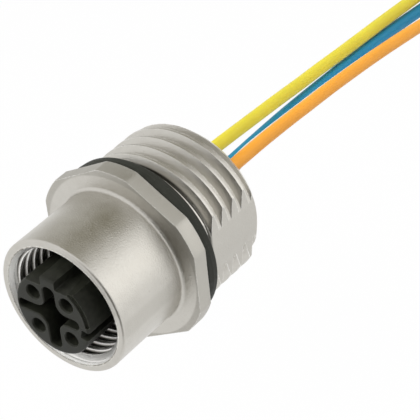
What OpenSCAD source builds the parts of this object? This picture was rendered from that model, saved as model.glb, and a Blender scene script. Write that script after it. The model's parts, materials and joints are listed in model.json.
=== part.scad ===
// M12 panel receptacle, female, four poles, with flying leads.
// The connector's axis runs along Y: the plug comes from -Y and the leads leave toward +Y.
// The origin lies on the axis, in the rear face of the panel seal, where the panel's front face seats.
// The key of the contact carrier points to +Z. Seen from the plug, +X is to the right.

/* [Housing barrel] */
// Outer diameter of the front barrel
barrel_d = 13.7; // [13.3:0.1:16]
// Length of the barrel from its mouth to the front face of the flange
barrel_len = 8.3; // [7.6:0.1:12]
// Rounding of the barrel's outer edge at the mouth
rim_round = 0.25; // [0.1:0.05:0.4]
// Diameter of the open mouth, before the plug thread
mouth_d = 12.3; // [12.2:0.1:12.6]

/* [Flange] */
// Diameter of the flange over its turned corners
flange_d = 18; // [17.5:0.1:19.6]
// Width of the flange across its six flats
flange_af = 17; // [16:0.1:17.4]
// Thickness of the flange
flange_t = 1.6; // [1.2:0.1:3]
// Fillet between the barrel and the flange
flange_fillet = 0.35; // [0.1:0.05:0.6]

/* [Panel thread] */
// Diameter over the crests of the rear thread
thread_d = 15.9; // [15.7:0.1:16.2]
// Pitch of the rear thread
thread_pitch = 1.5; // [1:0.25:1.5]
// Length of the threaded end, from the seal's rear face to its end
thread_len = 8.1; // [7.5:0.1:14]
// Chamfer at the end of the thread
end_chamfer = 1.1; // [1.1:0.1:1.5]
// Depth of the milled flat below the thread's crests
flat_depth = 1; // [0.8:0.05:1.05]
// Bore of the threaded end
rear_bore_d = 12.3; // [12:0.1:12.6]

/* [Plug thread] */
// Nominal diameter of the thread inside the barrel
plug_thread_d = 12; // [11.8:0.1:12]
// Pitch of the thread inside the barrel
plug_pitch = 1; // [0.75:0.25:1]
// Length of the countersink between the mouth and the first crest of that thread
plug_lead_in = 0.95; // [0.8:0.05:1.2]
// Width of the relief groove behind the thread
relief_w = 0.7; // [0.4:0.1:0.9]

/* [Panel seal] */
// Outer diameter of the seal
seal_d = 17; // [16.2:0.1:17.4]
// Inner diameter of the seal, which sits in the undercut
seal_bore_d = 14; // [13.8:0.1:14.2]
// Thickness of the seal along the axis
seal_t = 1.5; // [1:0.1:2]
// Rounding of the seal's edges
seal_edge = 0.2; // [0.1:0.05:0.3]

/* [Contact carrier] */
// Diameter of the carrier's front part, which the plug slides over
carrier_d = 8.1; // [8:0.1:8.8]
// Height of the carrier's face in front of the barrel's mouth
carrier_proud = 1.35; // [0.5:0.05:2]
// Depth of the annular gap round the carrier, from the mouth
gap_depth = 7; // [6.6:0.1:7.2]
// Diameter of the collar that closes the gap
collar_d = 10.5; // [10.2:0.1:10.7]
// Length of the collar
collar_len = 2; // [1.8:0.1:2.6]
// Thickness of the base disc behind the collar
base_t = 1.4; // [1.1:0.1:2]
// Width of the groove in the collar for the carrier's seal
ring_w = 1; // [0.8:0.1:1.2]
// Depth of that groove
ring_depth = 0.8; // [0.5:0.05:1]
// Bevel round the carrier's face
face_bevel = 0.2; // [0.1:0.05:0.3]
// Width of the key at the top
key_w = 1.6; // [1.2:0.1:1.8]
// Depth of the two flats that the key stands between
key_depth = 0.95; // [0.6:0.05:1]
// Width of the side keyway
side_key_w = 0.9; // [0.7:0.1:1.2]
// Depth of the side keyway
side_key_depth = 0.8; // [0.5:0.05:0.9]
// Turn of the side keyway from +X
side_key_turn = -12; // [-16:1:-10]
// Depth of the cross-shaped recess in the face
recess_depth = 2.2; // [1:0.1:4]
// Width of the recess's arms along X
recess_w = 1; // [0.7:0.05:1.1]
// Width of the recess's arms along Z
recess_cross_w = 1.3; // [0.9:0.05:1.4]
// Reach of the recess's two short arms, toward the key and the side keyway
recess_short = 3.05; // [2.6:0.05:3.1]
// Reach of the recess's long arm along X
recess_long = 3.75; // [3:0.05:3.8]
// Reach of the recess's long arm along Z
recess_cross_long = 3.5; // [3:0.05:3.8]
// Rounding of the four lands' inner corners
land_corner = 0.85; // [0.6:0.05:0.9]
// Width of the step along the edge between the key and the side keyway
step_w = 0.3; // [0.15:0.05:0.35]
// Height of that step below the face
step_h = 0.3; // [0.2:0.1:1]

/* [Contacts] */
// Diameter of the circle on which the four contacts stand
pole_circle_d = 5.3; // [5.2:0.1:5.6]
// Diameter of the funnel round each hole in the carrier's face
funnel_d = 1.55; // [1.4:0.05:1.8]
// Depth of that funnel
funnel_depth = 0.45; // [0.4:0.05:0.65]
// Bore of the socket, which takes the plug's pin
socket_bore = 1.05; // [0.9:0.05:1.15]
// Outer diameter of the socket
socket_d = 1.6; // [1.5:0.05:1.7]
// Depth of the socket's bore
socket_depth = 6; // [5:0.1:7]
// Width of the socket's slit
slit_w = 0.25; // [0.15:0.05:0.35]
// Length of the socket's slit
slit_len = 3.5; // [2:0.1:4.5]
// Thickness of the plastic in front of each socket
face_wall = 1.2; // [0.7:0.1:1.4]
// Diameter of the shoulder that is trapped behind the carrier
shoulder_d = 2.1; // [1.9:0.1:2.4]
// Length of that shoulder
shoulder_len = 0.6; // [0.4:0.1:0.8]
// Diameter of the solder cup
cup_d = 1.5; // [1.3:0.05:1.6]
// Length of the solder cup behind the retainer
cup_len = 2.6; // [2:0.1:3]

/* [Retainer and potting] */
// Thickness of the retainer disc
retainer_t = 1.4; // [1:0.1:2]
// Thickness of the potting behind the retainer
potting_t = 4; // [3.6:0.1:5]

/* [Leads] */
// Outer diameter of each lead
lead_d = 1.3; // [1.1:0.05:1.34]
// Diameter of each lead's tinned strand
strand_d = 0.65; // [0.5:0.05:0.8]
// Bare strand between the solder cup and the lead's insulation
strand_gap = 0.4; // [0.2:0.1:0.6]
// Length of the stripped far ends
bare_len = 4; // [3:0.1:4.5]
// Number of turns in the coil of spare lead
coil_turns = 3; // [2:1:4]
// Width of the cable tie round the coil
tie_w = 2.5; // [1.8:0.1:3.5]
// Thickness of the cable tie's band
tie_t = 0.7; // [0.5:0.1:1]

/* [Hidden] */
$fn = 96;

// Clearances
fit = 0.05;         // between a part and the bore that it slides into
eps = 0.01;         // overlap of a cut past the face that it opens

// Places along the axis, from the origin in the seal's rear face
seat_y = -seal_t;                               // rear face of the flange
flange_y = seat_y - flange_t;                   // front face of the flange
mouth_y = flange_y - barrel_len;                // the barrel's mouth
gap_y = mouth_y + gap_depth;                    // floor of the annular gap
base_y = gap_y + collar_len;                    // the shoulder on which the carrier's base seats
retainer_y = base_y + base_t;                   // the carrier's rear face
potting_y = retainer_y + retainer_t;            // the retainer's rear face
potting_end_y = potting_y + potting_t;          // the potting's rear face, where the leads leave
face_y = mouth_y - carrier_proud;               // the carrier's face
socket_y = face_y + face_wall;                  // front end of the sockets
cup_end_y = potting_y + cup_len;                // end of the solder cups
lead_y = cup_end_y + strand_gap;                // where the leads' insulation begins

// Radii
barrel_r = barrel_d / 2;
thread_r = thread_d / 2;
thread_depth = thread_pitch / 2;
thread_root_r = thread_r - thread_depth;
undercut_r = seal_bore_d / 2;
rear_bore_r = rear_bore_d / 2;
plug_root_r = plug_thread_d / 2;
plug_depth = 0.54 * plug_pitch;
plug_crest_r = plug_root_r - plug_depth;
collar_r = collar_d / 2;
flank_run = tan(30);                            // run along the axis of a 60 degree thread's flank, per depth

// Rear thread, as a row of rings
thread_root_w = thread_pitch / 4;
thread_land_w = thread_pitch - thread_root_w - 2 * thread_depth * flank_run;
first_land_y = 0.3;
land_count = floor((thread_len - end_chamfer - first_land_y) / thread_pitch) + 1;

// Thread inside the barrel, as a row of rings
plug_root_w = plug_pitch / 8;
plug_land_w = plug_pitch - plug_root_w - 2 * plug_depth * flank_run;
plug_start_y = mouth_y + plug_lead_in;          // front edge of the first crest
relief_y = gap_y - relief_w;
plug_count = floor((relief_y - plug_start_y - plug_land_w) / plug_pitch);

// Poles, numbered clockwise as the plug sees them
pole_angles = [135, 45, -45, -135];
pole_r = pole_circle_d / 2;

// The leads' routes, from the ends of the solder cups to the coil
yellow_route = [[0, 0, 0], [0, 2.1, 0], [-0.05, 4.4, -0.3], [-0.15, 8.6, -0.95], [-0.2, 12.6, -1.25],
    [-0.2, 16.6, -1.5], [-0.25, 20.6, -1.8], [-0.25, 24.6, -2.1], [-0.3, 28.6, -2.4], [-0.3, 32.6, -2.7],
    [-0.35, 36.6, -3], [-0.4, 40.6, -3.3], [-0.45, 44.6, -3.65], [-0.55, 48.6, -4.05], [-0.65, 52.6, -4.5],
    [-0.7, 56.6, -5.05], [-0.75, 61.6, -5.9]];
orange_route = [[0, 0, 0], [0, 2.1, 0], [-0.05, 4.4, -0.25], [-0.1, 8.6, -0.5], [-0.15, 12.6, -0.6],
    [-0.15, 16.6, -0.75], [-0.15, 20.6, -1], [-0.2, 24.6, -1.3], [-0.25, 28.6, -1.7], [-0.3, 32.6, -2.15],
    [-0.35, 36.6, -2.7], [-0.4, 40.6, -3.3], [-0.45, 44.6, -3.95], [-0.5, 48.6, -4.55], [-0.55, 52.6, -5.05],
    [-0.6, 56.6, -5.5], [-0.6, 61.6, -5.95]];
white_route = [[0, 0, 0], [0, 1.8, 0], [-0.15, 3.6, 0.4], [-0.5, 6.1, 1.3], [-0.85, 8.8, 2.15],
    [-1, 11.6, 2.35], [-1.05, 15.6, 2.2], [-1.05, 20.6, 1.9], [-1.1, 24.6, 1.6], [-1.15, 28.6, 1.2],
    [-1.2, 32.6, 0.75], [-1.25, 36.6, 0.2], [-1.3, 40.6, -0.4], [-1.4, 44.6, -1.05], [-1.5, 48.6, -1.7],
    [-1.65, 52.6, -1.9], [-1.9, 56.6, -2], [-1.95, 61.6, -2.05]];
blue_route = [[0, 0, 0], [0, 2.1, 0], [0, 4.4, -0.15], [0.05, 8.6, -0.3], [0.05, 12.6, -0.2],
    [0.05, 16.6, -0.1], [0.05, 20.6, -0.05], [0.05, 24.6, -0.1], [0.05, 28.6, -0.25], [0, 32.6, -0.45],
    [0, 36.6, -0.7], [-0.05, 40.6, -1], [-0.05, 44.6, -1.4], [0.05, 48.6, -1.75], [0.2, 52.6, -2],
    [0.4, 56.6, -2.1], [0.6, 61.6, -2.05]];

// The coil of spare lead, wound about an axis along X
coil_pitch = 1.35;                              // from one turn to the next, and from lead to lead
coil_x = -0.68;
coil_y = 68.45;
coil_z = -13.75;
coil_outer = 8.9;                               // radius of the outermost turn, at the middle of the lead
coil_inner = coil_outer - coil_turns * coil_pitch;
coil_w = 3 * coil_pitch + lead_d;
bare_turn = 55;                                 // where round the coil the bare ends leave its inside
bare_heading = -75;                             // direction in which they point, in the coil's plane

// ---- helpers ----

// A shape drawn in the plug's view, X right and Z up, made solid from y0 to y1
module plate(y0, y1) {
    translate([0, y1, 0]) rotate([90, 0, 0]) linear_extrude(y1 - y0) children();
}

// A profile of [radius, y] points turned about the axis
module turned() {
    rotate([-90, 0, 0]) rotate_extrude() children();
}

// A round bar along the axis from y0 to y1
module bar(d, y0, y1) {
    translate([0, y0, 0]) rotate([-90, 0, 0]) cylinder(d = d, h = y1 - y0);
}

// One pole's place
module at_pole(i) {
    translate([pole_r * cos(pole_angles[i]), 0, pole_r * sin(pole_angles[i])]) children();
}

// A quarter of a circle as points, from angle a0 to a1 about [x, y]
function quarter(x, y, r, a0, a1, steps = 6) =
    [for (i = [0 : steps]) let (a = a0 + (a1 - a0) * i / steps) [x + r * cos(a), y + r * sin(a)]];

// A lead's route in the part's frame: its points are given from the end of the pole's solder cup
function placed(route, i) =
    [for (p = route) [p[0] + pole_r * cos(pole_angles[i]), p[1] + lead_y, p[2] + pole_r * sin(pole_angles[i])]];

// Direction of a route at its point i
function unit(v) = v / norm(v);
function heading(path, i) =
    unit(path[min(i + 1, len(path) - 1)] - path[max(i - 1, 0)]);

// One ring of points square to the route at its point i
function ring_at(path, i, r, sides) =
    let (t = heading(path, i), u = unit(cross([0, 0, 1], t)), v = cross(t, u))
    [for (k = [0 : sides - 1]) let (a = 360 * (k + 0.5) / sides) path[i] + r * cos(a) * u + r * sin(a) * v];

// A solid tube of few sides along a route
module tube(path, d, sides = 8) {
    rings = len(path);
    points = [for (i = [0 : rings - 1]) each ring_at(path, i, d / 2, sides)];
    walls = [for (i = [0 : rings - 2]) for (k = [0 : sides - 1])
        let (a = i * sides + k, b = i * sides + (k + 1) % sides) [a, a + sides, b + sides, b]];
    near_end = [[for (k = [0 : sides - 1]) k]];
    far_end = [[for (k = [sides - 1 : -1 : 0]) (rings - 1) * sides + k]];
    polyhedron(points, concat(walls, near_end, far_end), convexity = 4);
}

// ---- housing ----

// Outline of the rear thread from the undercut to the end, as [radius, y]
function thread_outline() = concat(
    [[undercut_r, 0]],
    [for (i = [0 : land_count - 1]) let (y = first_land_y + i * thread_pitch) each [
        if (i > 0) [thread_root_r, y - thread_land_w / 2 - thread_depth * flank_run],
        [thread_r, y - thread_land_w / 2],
        [thread_r, y + thread_land_w / 2],
        [thread_root_r, y + thread_land_w / 2 + thread_depth * flank_run]]],
    [[thread_root_r, thread_len - end_chamfer + thread_depth], [thread_r - end_chamfer, thread_len]]);

// Outline of the thread inside the barrel, from its relief to the mouth, as [radius, y]
function plug_outline() = concat(
    [[plug_crest_r, relief_y]],
    [for (i = [plug_count - 1 : -1 : 0]) let (y = plug_start_y + i * plug_pitch) each [
        [plug_crest_r, y + plug_pitch],
        [plug_root_r, y + plug_pitch - plug_depth * flank_run],
        [plug_root_r, y + plug_land_w + plug_depth * flank_run],
        [plug_crest_r, y + plug_land_w]]],
    [[plug_crest_r, plug_start_y], [mouth_d / 2, mouth_y]]);

module housing() {
    color([0.80, 0.79, 0.76]) difference() {
        turned() polygon(concat(
            quarter(barrel_r - rim_round, mouth_y + rim_round, rim_round, -90, 0),
            quarter(barrel_r + flange_fillet, flange_y - flange_fillet, flange_fillet, 180, 90),
            [[flange_d / 2, flange_y], [flange_d / 2, seat_y], [undercut_r, seat_y]],
            thread_outline(),
            [[rear_bore_r, thread_len], [rear_bore_r, base_y], [collar_r + fit, base_y],
             [collar_r + fit, gap_y], [plug_root_r + fit, gap_y], [plug_root_r + fit, relief_y]],
            plug_outline()));
        // six flats on the flange
        plate(flange_y - 0.5, seat_y + 0.5) difference() {
            circle(d = flange_d + 4);
            rotate(30) circle(r = flange_af / 2 / cos(30), $fn = 6);
        }
        // milled flat along the thread
        translate([thread_r - flat_depth, 0, -thread_r]) cube([thread_r, thread_len + eps, 2 * thread_r]);
    }
}

module panel_seal() {
    color([0.08, 0.08, 0.08]) turned() polygon(concat(
        quarter(undercut_r + seal_edge, seat_y + seal_edge, seal_edge, 180, 270),
        quarter(seal_d / 2 - seal_edge, seat_y + seal_edge, seal_edge, -90, 0),
        quarter(seal_d / 2 - seal_edge, -seal_edge, seal_edge, 0, 90),
        quarter(undercut_r + seal_edge, -seal_edge, seal_edge, 90, 180)));
}

// ---- contact carrier ----

// One arm of the recess, from the middle to a round end
module arm(w, reach) {
    translate([0, -w / 2]) square([reach - w / 2, w]);
    translate([reach - w / 2, 0]) circle(d = w);
}

// The cross-shaped recess between the lands of the four holes
module recess() {
    arm(recess_w, recess_short);
    rotate(90) arm(recess_cross_w, recess_short);
    rotate(180) arm(recess_w, recess_long);
    rotate(270) arm(recess_cross_w, recess_cross_long);
    for (x = [0, 1], z = [0, 1]) mirror([x, 0]) mirror([0, z]) translate([recess_cross_w / 2, recess_w / 2]) difference() {
        translate([-land_corner, -land_corner] / 2) square(land_corner * 1.5);
        translate([land_corner, land_corner]) circle(r = land_corner);
    }
}

module contact_carrier() {
    carrier_r = carrier_d / 2;
    ring_y = (gap_y + base_y) / 2;
    color([0.13, 0.13, 0.13]) difference() {
        turned() polygon([
            [0, face_y], [carrier_r - face_bevel, face_y], [carrier_r, face_y + face_bevel],
            [carrier_r, gap_y], [collar_r, gap_y],
            [collar_r, ring_y - ring_w / 2], [collar_r - ring_depth, ring_y - ring_w / 2],
            [collar_r - ring_depth, ring_y + ring_w / 2], [collar_r, ring_y + ring_w / 2],
            [collar_r, base_y], [rear_bore_r - fit, base_y], [rear_bore_r - fit, retainer_y], [0, retainer_y]]);
        plate(face_y - eps, face_y + recess_depth) recess();
        // two flats at the top, with the key left standing between them
        plate(face_y - eps, gap_y) for (side = [0, 1]) mirror([side, 0])
            translate([key_w / 2, carrier_r - key_depth]) square([carrier_r, 2 * key_depth]);
        // side keyway
        plate(face_y - eps, gap_y)
            rotate(side_key_turn) translate([carrier_r - side_key_depth, -side_key_w / 2])
                square([2 * side_key_depth, side_key_w]);
        // step along the edge between the key and the side keyway
        plate(face_y - eps, face_y + step_h) intersection() {
            difference() {
                circle(r = carrier_r + eps);
                circle(r = carrier_r - step_w);
            }
            square(carrier_d);
        }
        for (i = [0 : 3]) at_pole(i) {
            bar(socket_bore, face_y - eps, socket_y + eps);
            bar(socket_d + fit, socket_y, retainer_y - shoulder_len + eps);
            bar(shoulder_d + fit, retainer_y - shoulder_len, retainer_y + eps);
            translate([0, face_y, 0]) rotate([-90, 0, 0])
                cylinder(d1 = funnel_d, d2 = socket_bore, h = funnel_depth);
        }
    }
}

module carrier_seal() {
    ring_y = (gap_y + base_y) / 2;
    color([0.20, 0.20, 0.20]) turned() polygon([
        [collar_r - ring_depth + fit, ring_y - ring_w / 2 + fit], [collar_r, ring_y - ring_w / 2 + fit],
        [collar_r + fit, ring_y], [collar_r, ring_y + ring_w / 2 - fit],
        [collar_r - ring_depth + fit, ring_y + ring_w / 2 - fit]]);
}

module contact_retainer() {
    color([0.17, 0.17, 0.17]) difference() {
        bar(rear_bore_d - 2 * fit, retainer_y, potting_y);
        for (i = [0 : 3]) at_pole(i) bar(cup_d + fit, retainer_y - eps, potting_y + eps);
    }
}

// ---- contacts ----

module socket(i) {
    color([0.83, 0.66, 0.30]) at_pole(i) difference() {
        union() {
            bar(socket_d, socket_y, retainer_y - shoulder_len);
            bar(shoulder_d, retainer_y - shoulder_len, retainer_y);
            bar(cup_d, retainer_y, cup_end_y);
        }
        bar(socket_bore, socket_y - eps, socket_y + socket_depth);
        translate([-socket_d, socket_y - eps, -slit_w / 2]) cube([2 * socket_d, slit_len + eps, slit_w]);
        bar(strand_d + fit, potting_y, cup_end_y + eps);
    }
}

// The stripped inner end of a lead, soldered into its cup
module conductor(i) {
    color([0.78, 0.76, 0.72]) at_pole(i) bar(strand_d, potting_y, lead_y);
}

module potting() {
    color([0.10, 0.10, 0.10]) difference() {
        bar(rear_bore_d - 2 * fit, potting_y, potting_end_y);
        for (i = [0 : 3]) at_pole(i) {
            bar(cup_d + fit, potting_y - eps, cup_end_y);
            bar(lead_d + fit, cup_end_y - eps, potting_end_y + eps);
        }
    }
}

// ---- leads ----

module lead(route, i) {
    tube(placed(route, i), lead_d);
}

module lead_yellow() {
    color([0.90, 0.84, 0.25]) lead(yellow_route, 0);
}

module lead_orange() {
    color([0.93, 0.62, 0.25]) lead(orange_route, 1);
}

module lead_white() {
    color([0.93, 0.93, 0.92]) lead(white_route, 2);
}

module lead_blue() {
    color([0.15, 0.52, 0.74]) lead(blue_route, 3);
}

module lead_coil() {
    color([0.60, 0.62, 0.45])
        translate([coil_x, coil_y, coil_z]) rotate([0, 90, 0]) difference() {
            cylinder(r = coil_outer + lead_d / 2, h = coil_w, center = true);
            cylinder(r = coil_inner - lead_d / 2, h = coil_w + 2 * eps, center = true);
        }
}

module coil_tie() {
    outer = coil_outer + lead_d / 2;
    inner = coil_inner - lead_d / 2;
    // the band stays clear of the coil's curved inside over its whole width
    inner_clear = inner - sqrt(inner * inner - tie_w * tie_w / 4);
    loop_h = outer - inner + inner_clear;
    color([0.10, 0.10, 0.10]) translate([coil_x, coil_y, coil_z - outer]) {
        difference() {
            translate([-coil_w / 2 - tie_t, -tie_w / 2, -tie_t])
                cube([coil_w + 2 * tie_t, tie_w, loop_h + 2 * tie_t]);
            translate([-coil_w / 2, -tie_w / 2 - eps, 0]) cube([coil_w, tie_w + 2 * eps, loop_h]);
        }
        // the tie's locking head
        translate([coil_w / 2 + tie_t, -tie_w * 0.8, loop_h / 2 - tie_w * 0.7]) 
            cube([tie_w * 0.9, tie_w * 1.6, tie_w * 1.4]);
    }
}

// The stripped far end of the lead in lane k of the coil
module bare_end(k) {
    inner = coil_inner - lead_d / 2;
    color([0.80, 0.78, 0.74]) translate([
        coil_x + (k - 1.5) * coil_pitch,
        coil_y + (inner - strand_d / 2) * cos(bare_turn),
        coil_z + (inner - strand_d / 2) * sin(bare_turn)])
        rotate([bare_heading - 90, 0, 0]) cylinder(d = strand_d, h = bare_len);
}

housing();
panel_seal();
contact_carrier();
carrier_seal();
contact_retainer();
socket(0);  // socket_1
socket(1);  // socket_2
socket(2);  // socket_3
socket(3);  // socket_4
conductor(0);  // conductor_1
conductor(1);  // conductor_2
conductor(2);  // conductor_3
conductor(3);  // conductor_4
potting();
lead_yellow();
lead_orange();
lead_white();
lead_blue();
lead_coil();
coil_tie();
bare_end(0);  // bare_end_yellow
bare_end(1);  // bare_end_blue
bare_end(2);  // bare_end_white
bare_end(3);  // bare_end_orange
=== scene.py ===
# %% [markdown]
# # A round four-pole socket connector with a panel thread and loose leads
#
# The real part is a small turned brass shell, plated with satin nickel. A black
# plastic insert with four sockets stands in its front, a rubber ring seals it
# against a panel, and four thin coloured leads leave its potted rear end.
# The axis lies along Y, the socket looks towards -Y, and the origin is in the
# middle of the face that the seal presses on. Blender works in metres.

# %% The solids, their box and the unit
import json
import math

import bmesh
import bpy
from mathutils import Matrix, Vector

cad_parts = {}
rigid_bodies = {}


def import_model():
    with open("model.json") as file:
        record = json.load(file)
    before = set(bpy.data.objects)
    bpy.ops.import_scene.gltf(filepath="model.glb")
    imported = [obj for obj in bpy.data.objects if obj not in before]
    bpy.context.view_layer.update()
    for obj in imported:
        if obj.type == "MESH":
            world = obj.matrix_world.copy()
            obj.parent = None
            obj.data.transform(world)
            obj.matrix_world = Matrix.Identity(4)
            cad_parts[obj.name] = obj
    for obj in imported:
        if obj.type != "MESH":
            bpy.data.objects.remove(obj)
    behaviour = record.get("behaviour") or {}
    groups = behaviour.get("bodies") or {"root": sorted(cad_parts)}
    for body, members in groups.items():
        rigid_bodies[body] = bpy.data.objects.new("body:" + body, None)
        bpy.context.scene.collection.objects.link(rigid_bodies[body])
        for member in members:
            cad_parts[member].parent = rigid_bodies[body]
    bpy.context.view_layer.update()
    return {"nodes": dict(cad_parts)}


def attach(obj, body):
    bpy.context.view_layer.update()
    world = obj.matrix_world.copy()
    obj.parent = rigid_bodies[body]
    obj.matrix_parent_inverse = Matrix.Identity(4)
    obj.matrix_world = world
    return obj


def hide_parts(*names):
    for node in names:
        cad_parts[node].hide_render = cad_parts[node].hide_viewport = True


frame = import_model()
MM = 0.001


def tell(*objects):
    print({obj.name: len(obj.data.polygons) for obj in objects}, "faces")


def linked(name, data):
    """A new object with this data, in the scene."""
    obj = bpy.data.objects.new(name, data)
    bpy.context.scene.collection.objects.link(obj)
    return obj


# %% [markdown]
# ## The camera
#
# Small parts are usually shown with a long lens from some way off, which keeps
# their edges nearly parallel. The camera is placed by its three axes, because
# that fixes the tilt of the view as well as the direction of the look.

# %% A long lens, looking down at the socket from the right
camera_data = bpy.data.cameras.new("camera")
camera_data.lens = 163.2
camera_data.sensor_width = 36
camera_data.clip_start, camera_data.clip_end = 0.005, 5
camera = linked("camera", camera_data)
to_right = Vector((0.80052, 0.59338, -0.08414))
to_top = Vector((-0.30230, 0.52101, 0.79822))
to_back = Vector((0.51747, -0.61357, 0.59645))
turn = Matrix((to_right, to_top, to_back)).transposed().to_4x4()
camera.matrix_world = Matrix.Translation(Vector((93.10, -100.65, 104.06)) * MM) @ turn
bpy.context.scene.camera = camera
print("camera", round(camera.location.length / MM), "mm from the origin")

# %% [markdown]
# ## The four leads
#
# Each lead is a limp PVC-covered wire, 1.3 mm thick and 0.2 m long. It leaves
# the potting, runs back with a slight sag, and its spare length is wound into
# a flat coil of three turns, all four leads side by side. A tube that is swept
# here in code carries its own UV map, along which the extrusion marks run.

# %% Points given by an angle
def polar(radius, degrees):
    angle = math.radians(degrees)
    return radius * math.cos(angle), radius * math.sin(angle)


def arc(across, up, radius, start, end, steps):
    """Points of an arc about the centre (across, up), from one angle to the other."""
    turns = [polar(radius, start + (end - start) * k / steps) for k in range(steps + 1)]
    return [(across + x, up + z) for x, z in turns]


def round_ring(radius, count):
    return [polar(radius, 360 * k / count) for k in range(count)]


print("angle helpers ready")

# %% The routes, in millimetres from the end of each solder cup
LEAD_D = 1.3
POLE_R = 2.65
LEAD_Y = 3.4
POLE_TURN = {"yellow": 135, "orange": 45, "white": -45, "blue": -135}
LANE = {"yellow": 0, "blue": 1, "white": 2, "orange": 3}
BACK = (0, 2.1, 4.4, 8.6, *(12.6 + 4 * k for k in range(12)), 61.6)
BACK_WHITE = (0, 1.8, 3.6, 6.1, 8.8, 11.6, 15.6, *(20.6 + 4 * k for k in range(10)), 61.6)
SIDEWAYS = {
    "yellow": [(0, 0), (0, 0), (-0.05, -0.3), (-0.15, -0.95), (-0.2, -1.25), (-0.2, -1.5),
        (-0.25, -1.8), (-0.25, -2.1), (-0.3, -2.4), (-0.3, -2.7), (-0.35, -3), (-0.4, -3.3),
        (-0.45, -3.65), (-0.55, -4.05), (-0.65, -4.5), (-0.7, -5.05), (-0.75, -5.9)],
    "orange": [(0, 0), (0, 0), (-0.05, -0.25), (-0.1, -0.5), (-0.15, -0.6), (-0.15, -0.75),
        (-0.15, -1), (-0.2, -1.3), (-0.25, -1.7), (-0.3, -2.15), (-0.35, -2.7), (-0.4, -3.3),
        (-0.45, -3.95), (-0.5, -4.55), (-0.55, -5.05), (-0.6, -5.5), (-0.6, -5.95)],
    "white": [(0, 0), (0, 0), (-0.15, 0.4), (-0.5, 1.3), (-0.85, 2.15), (-1, 2.35),
        (-1.05, 2.2), (-1.05, 1.9), (-1.1, 1.6), (-1.15, 1.2), (-1.2, 0.75), (-1.25, 0.2),
        (-1.3, -0.4), (-1.4, -1.05), (-1.5, -1.7), (-1.65, -1.9), (-1.9, -2), (-1.95, -2.05)],
    "blue": [(0, 0), (0, 0), (0, -0.15), (0.05, -0.3), (0.05, -0.2), (0.05, -0.1),
        (0.05, -0.05), (0.05, -0.1), (0.05, -0.25), (0, -0.45), (0, -0.7), (-0.05, -1),
        (-0.05, -1.4), (0.05, -1.75), (0.2, -2), (0.4, -2.1), (0.6, -2.05)],
}
ROUTES = {}
for colour, places in SIDEWAYS.items():
    back = BACK_WHITE if colour == "white" else BACK
    ROUTES[colour] = [(x, y, z) for (x, z), y in zip(places, back)]
print({k: len(v) for k, v in ROUTES.items()}, "points on the routes")

# %% [markdown]
# The coil is a spiral about an axis along X. One pitch, a little more than a
# lead's thickness, lies from lane to lane and from one turn to the next.

# %% The spiral of one lane, and a smooth line through all the points
COIL_MIDDLE = Vector((-0.68, 68.45, -13.75))
COIL_PITCH = 1.35
COIL_INNER, COIL_OUTER = 4.85, 8.9
COIL_FIRST, COIL_LAST, COIL_STEP = 80, 55 - 3 * 360, 15
LINE_STEP = 0.7


def coil_points(lane):
    count = (COIL_FIRST - COIL_LAST) // COIL_STEP
    points = []
    for i in range(count + 1):
        phi = COIL_FIRST + (COIL_LAST - COIL_FIRST) * i / count
        radius = COIL_INNER + COIL_PITCH * (phi - COIL_LAST) / 360
        points.append(COIL_MIDDLE + Vector(((lane - 1.5) * COIL_PITCH, *polar(radius, phi))))
    return points


def smooth_line(points, step):
    """Points about one step apart on a Catmull-Rom curve through the given ones."""
    line = []
    for i in range(len(points) - 1):
        p0, p1, p2 = points[max(i - 1, 0)], points[i], points[i + 1]
        p3 = points[min(i + 2, len(points) - 1)]
        span = (p2 - p1).length
        m1 = (p2 - p0) / max((p1 - p0).length + span, 1e-9) * span
        m2 = (p3 - p1) / max((p3 - p2).length + span, 1e-9) * span
        count = max(1, round(span / step))
        for k in range(count):
            t = k / count
            line.append(p1 * (2 * t**3 - 3 * t**2 + 1) + m1 * (t**3 - 2 * t**2 + t)
                        + p2 * (-2 * t**3 + 3 * t**2) + m2 * (t**3 - t**2))
    return line + [points[-1]]


def line_length(line):
    return sum((b - a).length for a, b in zip(line, line[1:]))


lead_lines = {}
for colour, route in ROUTES.items():
    x, z = polar(POLE_R, POLE_TURN[colour])
    points = [Vector((x, LEAD_Y, z)) + Vector(p) for p in route] + coil_points(LANE[colour])
    lead_lines[colour] = smooth_line(points, LINE_STEP)
print({k: round(line_length(v)) for k, v in lead_lines.items()}, "mm")

# %% [markdown]
# A sweep carries a ring of points along a line. If each ring is turned only as
# much as the line bends, the tube doesn't twist, and marks that run along it
# stay straight.

# %% Making mesh objects, and sweeping a ring along a line
def outwards(obj):
    bm = bmesh.new()
    bm.from_mesh(obj.data)
    bmesh.ops.recalc_face_normals(bm, faces=bm.faces)
    bm.to_mesh(obj.data)
    bm.free()


def crisp(obj, angle):
    obj.data.shade_smooth()
    obj.data.set_sharp_from_angle(angle=math.radians(angle))


def mesh_object(name, verts, faces, smooth=30):
    """An object from points in millimetres. Edges sharper than the angle stay crisp."""
    mesh = bpy.data.meshes.new(name)
    mesh.from_pydata([Vector(v) * MM for v in verts], [], faces)
    mesh.update()
    obj = linked(name, mesh)
    outwards(obj)
    crisp(obj, smooth)
    return obj


def walls(rows, n, closed=False):
    """Faces between rows of n points. A closed shell joins its rows, others get two ends."""
    faces = []
    for i in range(rows if closed else rows - 1):
        j = (i + 1) % rows
        faces += [(i * n + k, i * n + (k + 1) % n, j * n + (k + 1) % n, j * n + k)
                  for k in range(n)]
    return faces if closed else faces + [tuple(range(n)), tuple(range((rows - 1) * n, rows * n))]


UV_LENGTH = 0.2  # scales the UV map along the line


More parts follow.
